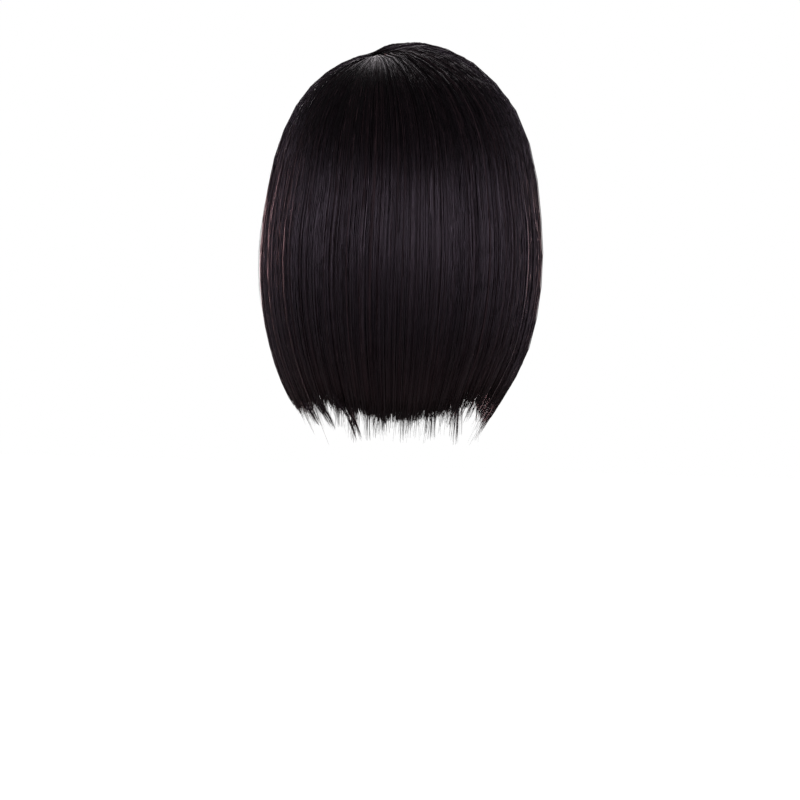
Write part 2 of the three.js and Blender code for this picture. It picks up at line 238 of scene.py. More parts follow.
def joined(*parts):
    """Points, triangles and maps of several parts as one."""
    offsets = np.cumsum([0] + [len(points) for points, _, _ in parts])
    points = np.concatenate([points for points, _, _ in parts])
    triangles = np.concatenate([faces + offset for (_, faces, _), offset in zip(parts, offsets)])
    return points, triangles, np.concatenate([uv for _, _, uv in parts])


MERIDIAN_STEP = 2  # degrees between the lines by which a net is laid out from the crown
MERIDIAN_ROWS = 300
NET_CORNERS = np.radians([30, 90, 150, 210])  # of the half of a mesh whose threads no neighbour has


def net_threads(surface, cell, keep):
    """Both ends of every thread of a six-sided net, laid over a surface from its crown where keep allows."""
    turns = np.radians(np.arange(0, 360 + MERIDIAN_STEP, MERIDIAN_STEP))
    rows = np.linspace(surface.first + CROWN_GAP, len(surface.rows) - 1, MERIDIAN_ROWS)
    meridians = surface.point(turns[:, None], rows[None])
    lengths = np.linalg.norm(np.diff(meridians, axis=1), axis=2)
    lengths = np.concatenate((np.zeros((len(turns), 1)), np.cumsum(lengths, 1)), 1)
    longest = lengths[:, -1].max()
    reach = 2 * (int(longest / cell) + 1)
    i, j = np.meshgrid(np.arange(-reach, reach + 1), np.arange(-reach, reach + 1), indexing="ij")
    middles = np.stack((cell * (i + j / 2), cell * j * np.sqrt(3) / 2), -1).reshape(-1, 2)
    corners = cell / np.sqrt(3) * np.stack((np.cos(NET_CORNERS), np.sin(NET_CORNERS)), -1)
    starts = np.concatenate([middles + corner for corner in corners[:-1]])
    ends = np.concatenate([middles + corner for corner in corners[1:]])

    def lifted(flat):
        away, azimuth = np.hypot(*flat.T), np.arctan2(*flat.T)
        nearest = np.rint(np.degrees(azimuth) % 360 / MERIDIAN_STEP).astype(int)
        t = np.array([np.interp(d, lengths[k], rows) for d, k in zip(away, nearest)])
        return surface.point(azimuth, t), away < lengths[nearest, -1]

    near = np.hypot(*starts.T) < longest
    a, a_there = lifted(starts[near])
    b, b_there = lifted(ends[near])
    kept = a_there & b_there & keep(a) & keep(b)
    return np.stack((a[kept], b[kept]), 1)


def above_rim(points):
    azimuth = np.arctan2(points[:, 0], points[:, 1])
    return points[:, 2] > level_around(RIM_ROWS, azimuth)


def ahead_of_seam(points):
    return points[:, 1] < LACE_SEAM_Y - points[:, 2] * LACE_SEAM_SLOPE


CAP_MIDDLE = 0, 0, -0.09
THREAD_SIDES, TAPE_SIDES = 3, 6


def thread_tubes(ends, radius, rng):
    """Each thread of a net as a short tube."""
    count = len(ends)
    outward = np.repeat((ends.mean(1) - CAP_MIDDLE)[:, None], 2, 1)
    radii = np.full((count, 2), radius)
    along = np.tile((0.0, 1.0), (count, 1))
    return tubes(ends, outward, radii, THREAD_SIDES, rng.integers(0, TONES, count), along)


def tape_tube(points, radius):
    """One tube along a line of points on the cap."""
    outward = points - CAP_MIDDLE
    radii = np.full((1, len(points)), radius)
    along = np.linspace(0, 1, len(points))[None]
    return tubes(points[None], outward[None], radii, TAPE_SIDES, np.zeros(1, int), along)


def tone_group():
    """Reads a piece's map: a random shade for each column, and the place across the columns and along."""
    group = bpy.data.node_groups.new("strand_tones", "ShaderNodeTree")
    group.interface.new_socket("Columns", in_out="INPUT", socket_type="NodeSocketFloat")
    for name in ("Shade", "Across", "Along"):
        group.interface.new_socket(name, in_out="OUTPUT", socket_type="NodeSocketFloat")
    nodes, links = group.nodes, group.links
    given, result = nodes.new("NodeGroupInput"), nodes.new("NodeGroupOutput")
    uv = nodes.new("ShaderNodeUVMap")
    uv.uv_map = MAP
    parts = nodes.new("ShaderNodeSeparateXYZ")
    links.new(uv.outputs["UV"], parts.inputs[0])
    scaled = nodes.new("ShaderNodeMath")
    scaled.operation = "MULTIPLY"
    links.new(parts.outputs["X"], scaled.inputs[0])
    links.new(given.outputs["Columns"], scaled.inputs[1])
    column = nodes.new("ShaderNodeMath")
    column.operation = "FLOOR"
    links.new(scaled.outputs[0], column.inputs[0])
    shade = nodes.new("ShaderNodeTexWhiteNoise")
    shade.noise_dimensions = "1D"
    links.new(column.outputs[0], shade.inputs["W"])
    links.new(shade.outputs["Value"], result.inputs["Shade"])
    links.new(scaled.outputs[0], result.inputs["Across"])
    links.new(parts.outputs["Y"], result.inputs["Along"])
    return group


strand_tones = tone_group()


def placed_tones(material):
    """The shared tones in a material."""
    tones = material.node_tree.nodes.new("ShaderNodeGroup")
    tones.node_tree = strand_tones
    tones.inputs["Columns"].default_value = TONES
    return tones.outputs


def colour_ramp(material, value, *stops):
    """A colour for a value, through (position, colour) stops."""
    ramp = material.node_tree.nodes.new("ShaderNodeValToRGB")
    elements = ramp.color_ramp.elements
    for element, (position, colour) in zip(elements, (stops[0], stops[-1])):
        element.position = position
        element.color = (*colour, 1)
    for position, colour in stops[1:-1]:
        elements.new(position).color = (*colour, 1)
    material.node_tree.links.new(value, ramp.inputs["Fac"])
    return ramp.outputs["Color"]


def thread_material(name, dark, light, roughness):
    """Twisted thread in shades that differ a little."""
    material = bpy.data.materials.new(name)
    material.use_nodes = True
    nodes, links = material.node_tree.nodes, material.node_tree.links
    shader = nodes["Principled BSDF"]
    shade = placed_tones(material)["Shade"]
    links.new(colour_ramp(material, shade, (0, dark), (1, light)), shader.inputs["Base Color"])
    shader.inputs["Roughness"].default_value = roughness
    place = nodes.new("ShaderNodeTexCoord")
    twist = nodes.new("ShaderNodeTexNoise")
    twist.inputs["Scale"].default_value = 2200
    links.new(place.outputs["Object"], twist.inputs["Vector"])
    bump = nodes.new("ShaderNodeBump")
    bump.inputs["Strength"].default_value = 0.4
    bump.inputs["Distance"].default_value = 0.0002
    links.new(twist.outputs["Fac"], bump.inputs["Height"])
    links.new(bump.outputs["Normal"], shader.inputs["Normal"])
    return material


NET_CELL = 0.0040
NET_THREAD = 0.00042
TAPE_RADIUS = 0.0013
TAPE_EDGE, TAPE_POINTS = 112, 150  # its ends, in degrees from the centre back
SEAM_RADIUS = 0.0006
SEAM_EDGES, SEAM_POINTS = (100, 260), 321  # degrees between which the seam lies


def seam_line():
    """The seam between net and lace, from rim to rim over the crown."""
    turns = np.radians(np.linspace(*SEAM_EDGES, SEAM_POINTS))
    low = np.full(turns.shape, cap_surface.first + CROWN_GAP)
    high = cap_surface.row_at(level_around(RIM_ROWS, (turns + np.pi) % (2 * np.pi) - np.pi))
    lowest = cap_surface.point(turns, high)
    for _ in range(HALVINGS):
        middle = (low + high) / 2
        ahead = ahead_of_seam(cap_surface.point(turns, middle))
        low, high = np.where(ahead, low, middle), np.where(ahead, middle, high)
    return cap_surface.point(turns, high)[ahead_of_seam(lowest)]


rng = np.random.default_rng(5)
black_net = thread_material("black_net", (0.006, 0.005, 0.006), (0.016, 0.013, 0.014), 0.75)
net_ends = net_threads(cap_surface, NET_CELL, lambda p: above_rim(p) & ~ahead_of_seam(p))
rim_turns = np.radians(np.linspace(-TAPE_EDGE, TAPE_EDGE, TAPE_POINTS))
tape_line = cap_surface.at_level(rim_turns, level_around(RIM_ROWS, rim_turns) + TAPE_RADIUS)
tape_line = tape_line[~ahead_of_seam(tape_line)]
net_parts = joined(
    thread_tubes(net_ends, NET_THREAD, rng),
    tape_tube(tape_line, TAPE_RADIUS),
    tape_tube(seam_line(), SEAM_RADIUS),
)
net_piece = mesh_piece("net_cap_net", *net_parts, black_net)
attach(net_piece, "root")
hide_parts("net_cap")


# Lace front
# A fine brown tulle along the front from ear to ear, so sheer that the hair seems to grow there. Its front
# edge is cut close to the mesh, and its back edge is sewn to the net in one seam.

LACE_CELL = 0.0018
LACE_THREAD = 0.00011

brown_lace = thread_material("brown_lace", (0.10, 0.055, 0.032), (0.20, 0.12, 0.075), 0.7)
lace_ends = net_threads(cap_surface, LACE_CELL, lambda p: above_rim(p) & ahead_of_seam(p))
lace_piece = mesh_piece("lace_front_tulle", *thread_tubes(lace_ends, LACE_THREAD, rng), brown_lace)
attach(lace_piece, "root")
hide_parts("lace_front")


# Sections of hair
# Straight black hair, sewn to the cap in rows and knotted to the lace one by one. It falls from a whorl
# and a parting on the left, at +X, lies over the crown, hangs free below the cap and turns in at the hem.

HAIR_GAP = 0.0011  # between the cap and the hair laid over it

# The outside of the hair, as the cap's outlines are given
HAIR_ROWS = np.array(
    [
        (0.012, 0.0000, 0.000, 0.000),
        (0.0095, 0.0175, 0.024, 0.021),
        (0.003, 0.0350, 0.045, 0.040),
        (-0.010, 0.0545, 0.069, 0.062),
        (-0.032, 0.0740, 0.093, 0.083),
        (-0.066, 0.0880, 0.111, 0.098),
        (-0.105, 0.0945, 0.117, 0.104),
        (-0.140, 0.0970, 0.116, 0.102),
        (-0.175, 0.0945, 0.110, 0.097),
        (-0.205, 0.0875, 0.101, 0.090),
        (-0.230, 0.0770, 0.088, 0.081),
        (-0.255, 0.0630, 0.074, 0.070),
        (-0.280, 0.0480, 0.060, 0.058),
    ],
    OUTLINE_COLUMNS,
)

# The inside of the hair below the cap's widest line, where it hangs free
HAIR_LINING_ROWS = np.array(
    [
        (-0.140, 0.083, 0.103, 0.094),
        (-0.175, 0.083, 0.098, 0.088),
        (-0.205, 0.077, 0.090, 0.080),
        (-0.230, 0.067, 0.078, 0.072),
        (-0.255, 0.055, 0.066, 0.062),
        (-0.280, 0.042, 0.053, 0.051),
    ],
    OUTLINE_COLUMNS,
)

# The cut of the hem, by degrees from the centre back towards the left: longest behind, and shortest at the
# notches between back and sides
HEM_ROWS = np.array(
    [
        (-138, -0.242),
        (-85, -0.241),
        (-66, -0.2385),
        (-52, -0.2365),
        (-44, -0.235),
        (-37, -0.235),
        (-30, -0.242),
        (-12, -0.249),
        (4, -0.250),
        (20, -0.246),
        (29, -0.243),
        (37, -0.236),
        (47, -0.239),
        (60, -0.240),
        (78, -0.238),
        (138, -0.236),
    ],
    RIM_COLUMNS,
)

HANG_LEVEL = -0.105  # above it hair lies on the cap, below it hair hangs
WHORL = 0.020, 0.0385  # in plan
WHORL_RADIUS = 0.0055
WHORL_HOLE = 0.0045  # radius of the open middle of the whorl
WHORL_HOLE_END = 0.07  # share of the parting over which it closes
PART_FRONT = 0.033, -0.075
PART_HALF_WIDTH = 0.0012
PART_BOW = 0.005  # how far the parting bends outwards midway
PART_OVERLAP = 0.0006  # how far the roots of either side reach over the middle of the parting
PART_NARROWING = 0.25  # share of the parting over which it narrows from the whorl
BACK_EDGE, WHORL_EDGE, FACE_EDGE = 34, 75, 138  # degrees from the centre back

ROOT_DEPTH = 0.46  # share of the full thickness
WHORL_DEPTH = 0.32  # the same behind the whorl, where the hair dips
WHORL_DIP_EDGES = 40, 85  # degrees over which the dip runs out
LEFT_RISE, RIGHT_RISE = 0.075, 0.010  # way from the root to full thickness, either side of the parting
WHORL_RISE = 0.028  # the same round the whorl
WHORL_RISE_EDGE = 105  # degrees where it has run out, along the parting
FACE_DEPTH = 0.45  # share of the full thickness at the front edges
FACE_TAPER = 16  # degrees over which it is reached
FACE_FALL = 0.7  # how much the hair at the front edges falls straight, rather than turning in
FACE_FALL_EDGE = 105  # degrees
TIP_TAPER = 0.045  # height above the hem over which the hair thins
LEFT_TIP, RIGHT_TIP = 1.12, 0.72  # share of the thickness where the outer tips end, either side
INNER_TIP = 0.42  # the same of the inner tips

widest = int(np.flatnonzero(CAP_ROWS["level"] == HANG_LEVEL)[0]) + 1
root_rows = inflated(CAP_ROWS, CAP_WALL + HAIR_GAP)
hair_lining = Surface(np.concatenate((root_rows[:widest], HAIR_LINING_ROWS)))
hair_outside = Surface(HAIR_ROWS)


def root_of(azimuth):
    """Where the hair of an azimuth leaves the cap, in plan: round the whorl, then forward along the parting.
    Returns its x and y, how far the middle of whorl or parting lies behind it, and how far short of that
    the hair starts."""
    turn, side = np.abs(np.degrees(azimuth)), np.where(azimuth < 0, -1, 1)
    angle = np.clip(turn / WHORL_EDGE, 0, 1) * np.pi / 2
    along = np.clip((turn - WHORL_EDGE) / (FACE_EDGE - WHORL_EDGE), 0, 1)
    half_width = lerp(WHORL_RADIUS, PART_HALF_WIDTH, eased(along, 0, PART_NARROWING))
    middle = lerp(WHORL[0], PART_FRONT[0], along) + PART_BOW * np.sin(np.pi * along)
    x = middle + side * half_width * np.sin(angle)
    y = lerp(WHORL[1], PART_FRONT[1], along) + WHORL_RADIUS * np.cos(angle)
    hole = lerp(WHORL_HOLE, -PART_OVERLAP, eased(along, 0, WHORL_HOLE_END))
    return x, y, half_width, hole


GRID_MARGIN = 4  # degrees beyond the front edges
GRID_TURNS = np.radians(np.arange(-FACE_EDGE - GRID_MARGIN, FACE_EDGE + GRID_MARGIN + 1, 1.0))
GRID_STEPS = 40
DOME_SAMPLES = 80
COLUMN_END, STEP_END = 1e-3, 1e-4  # keep the last column and step inside the grid


def dome_paths(surface):
    """Ways of the hair from root to hang level over a surface, straight in plan, by azimuth and step."""
    x, y = root_of(GRID_TURNS)[:2]
    shoulder = surface.at_level(GRID_TURNS, np.full(GRID_TURNS.shape, HANG_LEVEL))
    share = np.sin(np.linspace(0, np.pi / 2, DOME_SAMPLES))
    plan_x = lerp(x[:, None], shoulder[:, :1], share)
    plan_y = lerp(y[:, None], shoulder[:, 1:2], share)
    points = surface.over(plan_x, plan_y, HANG_LEVEL)
    lengths = np.linalg.norm(np.diff(points, axis=1), axis=2)
    lengths = np.concatenate((np.zeros((len(x), 1)), np.cumsum(lengths, 1)), 1)
    even = np.linspace(0, 1, GRID_STEPS + 1)
    paths = [
        np.stack([np.interp(even * length[-1], length, line[:, axis]) for axis in range(3)], -1)
        for line, length in zip(points, lengths)
    ]
    return np.array(paths), lengths[:, -1]


lining_paths, _ = dome_paths(hair_lining)
outside_paths, dome_lengths = dome_paths(hair_outside)


def grid_column(azimuth):
    return (azimuth - GRID_TURNS[0]) / (GRID_TURNS[1] - GRID_TURNS[0])


def length_over_dome(azimuth):
    return np.interp(grid_column(azimuth), np.arange(len(GRID_TURNS)), dome_lengths)


def on_grid(paths, azimuth, step):
    """Points of the dome's paths between their azimuths and steps."""
    column = np.clip(grid_column(azimuth), 0, len(GRID_TURNS) - 1 - COLUMN_END)
    row = np.clip(step, -1, 1 - STEP_END) * GRID_STEPS
    i, j = np.floor(column).astype(int), np.maximum(np.floor(row).astype(int), 0)
    f, g = (column - i)[..., None], (row - j)[..., None]
    above = lerp(paths[i, j], paths[i + 1, j], f)
    below = lerp(paths[i, j + 1], paths[i + 1, j + 1], f)
    return lerp(above, below, g)


def hair_points(azimuth, step, level, hem, depth, relief):
    """Points of the hair, from its lining (depth 0) to its outside (depth 1), and the way outwards there."""
    on_dome = (step < 1)[..., None]
    turn = np.degrees(azimuth)
    straight = FACE_FALL * eased(np.abs(turn), FACE_FALL_EDGE, FACE_EDGE)[..., None]

    def hanging(surface):
        points = surface.at_level(azimuth, level)
        above = surface.at_level(azimuth, np.full(azimuth.shape, HANG_LEVEL))
        above[..., 2] = points[..., 2]
        return lerp(points, above, straight)

    inner = np.where(on_dome, on_grid(lining_paths, azimuth, step), hanging(hair_lining))
    outer = np.where(on_dome, on_grid(outside_paths, azimuth, step), hanging(hair_outside))
    root_x, root_y = root_of(azimuth)[:2]
    grown = np.hypot(outer[..., 0] - root_x, outer[..., 1] - root_y)
    reach = lerp(RIGHT_RISE, LEFT_RISE, eased(turn, -BACK_EDGE, BACK_EDGE))
    reach = np.maximum(reach, WHORL_RISE * (1 - eased(np.abs(turn), WHORL_EDGE, WHORL_RISE_EDGE)))
    root_depth = lerp(WHORL_DEPTH, ROOT_DEPTH, eased(np.abs(turn), *WHORL_DIP_EDGES))
    rise = np.where(step < 1, lerp(root_depth, 1, eased(grown, 0, reach)), 1)
    face = lerp(FACE_DEPTH, 1, eased(FACE_EDGE - np.abs(turn), 0, FACE_TAPER))
    tip = np.where(step < 1, 1, eased(level, hem, hem + TIP_TAPER))
    thickness = np.linalg.norm(outer - inner, axis=-1)
    outer_tip = lerp(RIGHT_TIP, LEFT_TIP, eased(turn, -BACK_EDGE, 2 * BACK_EDGE))
    high = rise * face * lerp(outer_tip, 1, tip)
    low = INNER_TIP * face * (1 - tip)
    share = lerp(low, high, depth) + relief / thickness
    outward = (outer - inner) / thickness[..., None]
    return inner + (outer - inner) * share[..., None], outward


# Locks, tufts and plies: how the hairs of a section lie together
LOCK_SHIFT = 0.25  # how far the edges of locks stray, as a share of a lock's width
LOCK_STRENGTHS = 0.5, 1.5
LOCK_RIDGE = 0.0009
LOCK_PULL = 0.12  # how much of a tuft's gathering goes towards the middle of its lock
TUFT_WIDTHS = 0.3, 1.7  # against each other
TUFT_MIDDLES = 0.1, 0.9  # share of a tuft's width where its hairs meet
TUFT_HOLDS = 0.15, 1.0
TUFT_TIPS = 0.6  # spread of the tufts' lengths, as a share of the hem's raggedness
TUFT_DEPTH = 0.0005  # spread of the tufts' height
TUFT_HOLD = 0.8  # how much of their gathering at the tips the tufts have above them
TIGHTEST_HOLD = 0.9
GATHER_HEIGHT = 0.10  # above the hem, over which the hold tightens
GATHER_WAYS = 0.02, 0.08  # from the root, between which it begins
PLIES_PER_TUFT = 2
PLY_DEPTH = 0.00035  # spread of the plies' height
PLY_ROLL = 0.65  # spread of the turn of a ply, a few strands that lie side by side, in radians
STRAND_ROLL = 0.55  # the same of single strands, about their own length
STRAND_SIDES = 3
RELIEF_WAYS = 0.01, 0.07  # from the root, between which locks, tufts and plies get their height

# Roots: how the hairs leave the whorl, the parting and the rows below them
ROOT_SHARE = 0.01  # hairs that start nearer the root than this share of the dome are drawn back to it
PARTING_SHARE = 0.02  # hairs that start nearer than this are rooted in the whorl or the parting
PART_SINK, WHORL_SINK = 0.06, 0.45  # share of the thickness by which the roots sink there
WHORL_SINK_EDGES = 65, 90  # degrees between which the one goes over into the other
ROOT_SINK_WAY = 0.004
ROW_SINK, ROW_SINK_WAY = 0.35, 0.03  # the same for hairs of the rows below
COMBED = 0.7  # how far the hairs at the parting are brought to the outside
COMBED_WAYS = 0.02, 0.07  # from the root, between which this ends
FANS_PER_LOCK = 4  # bundles that fan out from the whorl
FAN_DEPTHS = -0.0011, 0.0006  # range of their heights
FAN_RISE, FAN_FALL = (0.002, 0.010), (0.03, 0.07)  # ways from the root where they rise and run out

# Fall: how the hairs hang, spread and stray
HANG_STRETCH = 1.04  # length of hanging hair over the height that it falls
SPREAD = np.radians(3)  # how far the hair of back and sides still spreads below the hang level
SPREAD_DROP = 0.085  # height over which it does
WAVE = 0.005  # spread of the hairs' sideways drift, in radians
WAVE_LENGTH, WAVE_TURN, WAVE_PHASE = 0.25, 3, 2000
WAVE_BEND = 0.6  # how much of it is a steady bend
WAVE_START = 0.05  # way from the root to the full drift
EDGE_MARGIN = 0.02  # how far hairs may drift past their section's edges, in radians
LEAN_HEIGHT = 0.02  # above and below the hem, over which tips swing
RING_SHIFT = 0.5  # how far the rings of a strand stray, as a share of their distance
RINGS_TO_ROOT, RINGS_TO_ENDS = 0.2, 0.2  # how closely a strand's rings follow there, 0 is evenly
ROOT_THIN, ROOT_THIN_WAY = 0.55, 0.03  # share of the radius at the root, and where it is full
TIP_THIN, TIP_THIN_WAY = 0.25, 0.014  # the same at the tip


def tuft_bounds(rng, low, high, tufts):
    """Edges of tufts of uneven width between two azimuths."""
    edges = np.cumsum(np.append(0, rng.uniform(*TUFT_WIDTHS, tufts)))
    return lerp(low, high, edges / edges[-1])


def strands(
    rng, edges, locks, ragged, count, rings, starts, depths, radius, tips, clump,
    stray=1, lean=0, lock_tufts=6,
):
    """Hairs of one section as tubes: spread between two azimuths, gathered into locks towards their tips."""
    low, high = np.radians(edges)
    azimuth = rng.uniform(low, high, count)
    turn = np.abs(np.degrees(azimuth))
    lock_edges = np.linspace(low, high, locks + 1)
    lock_edges[1:-1] += rng.uniform(-LOCK_SHIFT, LOCK_SHIFT, locks - 1) * (high - low) / locks
    lock_middle = (lock_edges[1:] + lock_edges[:-1]) / 2
    lock = np.clip(np.searchsorted(lock_edges, azimuth) - 1, 0, locks - 1)
    tufts = locks * lock_tufts
    tuft_edges = tuft_bounds(rng, low, high, tufts)
    tuft = np.clip(np.searchsorted(tuft_edges, azimuth) - 1, 0, tufts - 1)
    tuft_middle = lerp(tuft_edges[:-1], tuft_edges[1:], rng.uniform(*TUFT_MIDDLES, tufts))
    tuft_hold = rng.uniform(*TUFT_HOLDS, tufts)
    tuft_tip = rng.normal(0, TUFT_TIPS * ragged, tufts)
    tuft_depth = rng.normal(0, TUFT_DEPTH, tufts)

    def shared(groups):
        """The number of the group that each hair is in, of groups of even width."""
        return np.clip(((azimuth - low) / (high - low) * groups).astype(int), 0, groups - 1)

    plies, fans = tufts * PLIES_PER_TUFT, locks * FANS_PER_LOCK
    ply, fan = shared(plies), shared(fans)
    across = (azimuth - lock_middle[lock]) / (lock_edges[lock + 1] - lock_edges[lock]) * 2
    crest = np.cos(np.clip(across, -1, 1) * np.pi / 2)
    strength = rng.uniform(*LOCK_STRENGTHS, locks)[lock]

    dome_length = length_over_dome(azimuth)
    start = starts(rng, count)
    half_width, hole = root_of(azimuth)[2:]
    drawn_back = lerp((hole - half_width) / dome_length, ROOT_SHARE, start / ROOT_SHARE)
    start = np.where(start < ROOT_SHARE, drawn_back, start)
    depth = depths(rng, count)
    hem = level_around(HEM_ROWS, azimuth) - ragged * crest * strength
    end = hem + tuft_tip[tuft] + tips(rng, count)
    dome_left = dome_length * np.maximum(1 - start, 0)
    top = np.where(start < 1, HANG_LEVEL, HANG_LEVEL - (start - 1))
    length = dome_left + (top - end) * HANG_STRETCH
    even = np.linspace(0, 1, rings)[None]
    shift = rng.uniform(-RING_SHIFT, RING_SHIFT, (count, 1))
    even = even + shift * np.sin(np.pi * even) / (rings - 1)
    to_root = RINGS_TO_ROOT * np.sin(np.pi * even) / np.pi
    to_ends = RINGS_TO_ENDS * np.sin(2 * np.pi * even) / (2 * np.pi)
    even = even - to_root - to_ends
    way = even * length[:, None]
    step = np.where(start < 1, start, 1)[:, None] + way / dome_length[:, None]
    level = top[:, None] - (way - dome_left[:, None]) / HANG_STRETCH

    hold = np.minimum(clump(rng, count) * tuft_hold[tuft], TIGHTEST_HOLD)
    gather = lerp(TUFT_HOLD, 1, eased(level, hem[:, None] + GATHER_HEIGHT, hem[:, None])) * hold[:, None]
    gather = gather * eased(way, *GATHER_WAYS)
    wave = rng.normal(0, WAVE * stray, (count, 3))
    share = way / WAVE_LENGTH
    swaying = np.sin(WAVE_TURN * share + WAVE_PHASE * wave[:, 2:] / stray)
    drift = wave[:, :1] * swaying + wave[:, 1:2] * share * WAVE_BEND
    drift = drift * eased(way, 0, WAVE_START)
    path_azimuth = azimuth[:, None] + gather * (tuft_middle[tuft] - azimuth)[:, None] + drift
    path_azimuth += LOCK_PULL * gather * (lock_middle[lock] - azimuth)[:, None]
    path_azimuth = np.clip(path_azimuth, low - EDGE_MARGIN, high + EDGE_MARGIN)
    path_azimuth += lean * eased(level, hem[:, None] + LEAN_HEIGHT, hem[:, None] - LEAN_HEIGHT)
    unspread = np.clip(1 - (HANG_LEVEL - level) / SPREAD_DROP, 0, 1) ** 2
    path_azimuth -= SPREAD * np.sin(2 * np.clip(azimuth, -np.pi / 2, np.pi / 2))[:, None] * unspread

    at_parting = (start < PARTING_SHARE)[:, None]
    at_whorl = 1 - eased(turn, *WHORL_SINK_EDGES)
    root_sink = lerp(PART_SINK, WHORL_SINK, at_whorl)[:, None] * (1 - eased(way, 0, ROOT_SINK_WAY))
    sunk = np.where(at_parting, root_sink, ROW_SINK * (1 - eased(way, 0, ROW_SINK_WAY)))
    round_whorl = (1 - eased(turn, WHORL_EDGE, WHORL_RISE_EDGE))[:, None]
    combed = np.where(at_parting, COMBED * (1 - round_whorl) * (1 - eased(way, *COMBED_WAYS)), 0)
    ring_depth = np.clip(lerp(depth[:, None], 1, combed) - sunk, 0, None)
    bumps = LOCK_RIDGE * crest * strength + tuft_depth[tuft] + rng.normal(0, PLY_DEPTH, plies)[ply]
    fan_bumps = rng.uniform(*FAN_DEPTHS, fans)[fan][:, None]
    fanned = round_whorl * fan_bumps * eased(way, *FAN_RISE) * (1 - eased(way, *FAN_FALL))
    relief = bumps[:, None] * eased(way, *RELIEF_WAYS) + fanned
    lowest = np.minimum(hem, end)[:, None]
    points, outward = hair_points(path_azimuth, step, level, lowest, ring_depth, relief)

    thin = lerp(ROOT_THIN, 1, eased(way, 0, ROOT_THIN_WAY))
    thin = thin * lerp(TIP_THIN, 1, eased(length[:, None] - way, 0, TIP_THIN_WAY))
    radii = radius(rng, count)[:, None] * thin
    tones = rng.integers(0, TONES, count)
    along = np.clip(lerp(start[:, None] / 2, 1, even), 0, 1)
    roll = rng.normal(0, PLY_ROLL, plies)[ply] + rng.normal(0, STRAND_ROLL, count)
    return tubes(points, outward, radii, STRAND_SIDES, tones, along, roll)


BODY_COLUMNS, BODY_ROWS = 72, 22
BODY_MARGIN = np.radians(0.35)  # between the bodies of neighbouring sections, on each side
BODY_ROOT_BUNCHING = 1.8  # how closely its rows follow at the root, 1 is evenly
BODY_DEPTHS = 0.12, 0.70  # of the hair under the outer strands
BODY_TIP_DEPTHS = 0.40, 0.52
BODY_THINNING = 2, 1.7  # from its end up, where 1 is the hang level and 2 the end
BODY_SHORT, BODY_RAGGED = 0.004, 0.003  # how far it ends above the hem, and the spread of this
BODY_OVERLAP = 0.003  # how far it reaches over the middle of the whorl or the parting
BODY_PIT = 0.15  # share of its depth there
BODY_PIT_EDGES = -0.025, 0.10  # shares of the way over the dome between which it gets its full depth
BODY_SHEEN = 0.03  # share of the map that it uses, at the dull root end


def hair_body(rng, edges):
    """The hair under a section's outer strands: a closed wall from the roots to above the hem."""
    low, high = np.radians(edges)
    turns = np.linspace(low + BODY_MARGIN, high - BODY_MARGIN, BODY_COLUMNS)
    azimuth = turns[:, None] * np.ones(BODY_ROWS)
    dome = np.linspace(0, 1, 2 * BODY_ROWS // 3, endpoint=False) ** BODY_ROOT_BUNCHING
    steps = np.concatenate((dome, np.linspace(1, 2, BODY_ROWS - len(dome))))
    step = np.ones((BODY_COLUMNS, 1)) * steps
    step[:, 0] = -(root_of(turns)[2] + BODY_OVERLAP) / length_over_dome(turns)
    hem = level_around(HEM_ROWS, azimuth) + rng.normal(0, BODY_RAGGED, (BODY_COLUMNS, 1))
    level = lerp(HANG_LEVEL, hem + BODY_SHORT, np.maximum(step - 1, 0))
    thinning = eased(step, *BODY_THINNING)
    rooted = lerp(BODY_PIT, 1, eased(step, *BODY_PIT_EDGES))
    inside, outside = (
        hair_points(azimuth, step, level, hem, lerp(tip_depth, depth, thinning) * rooted, 0 * step)[0]
        for tip_depth, depth in zip(BODY_TIP_DEPTHS, BODY_DEPTHS)
    )
    points = np.concatenate((outside.reshape(-1, 3), inside.reshape(-1, 3)))
    number = np.arange(BODY_COLUMNS * BODY_ROWS).reshape(BODY_COLUMNS, BODY_ROWS)
    under = number + number.size
    quads = [
        (number[:-1, :-1], number[:-1, 1:], number[1:, 1:], number[1:, :-1]),
        (under[:-1, :-1], under[1:, :-1], under[1:, 1:], under[:-1, 1:]),
        (number[:-1, -1], under[:-1, -1], under[1:, -1], number[1:, -1]),
        (number[:-1, 0], number[1:, 0], under[1:, 0], under[:-1, 0]),
        (number[0, :-1], under[0, :-1], under[0, 1:], number[0, 1:]),
        (number[-1, :-1], number[-1, 1:], under[-1, 1:], under[-1, :-1]),
    ]
    quads = np.concatenate([np.stack([corner.ravel() for corner in quad], -1) for quad in quads])
    triangles = np.concatenate((quads[:, (0, 2, 1)], quads[:, (0, 3, 2)]))
    column, row = np.divmod(np.concatenate((number.ravel(), number.ravel())), BODY_ROWS)
    place = np.stack((column / BODY_COLUMNS, BODY_SHEEN * row / BODY_ROWS), -1)
    return points, triangles, place[triangles].reshape(-1, 2)


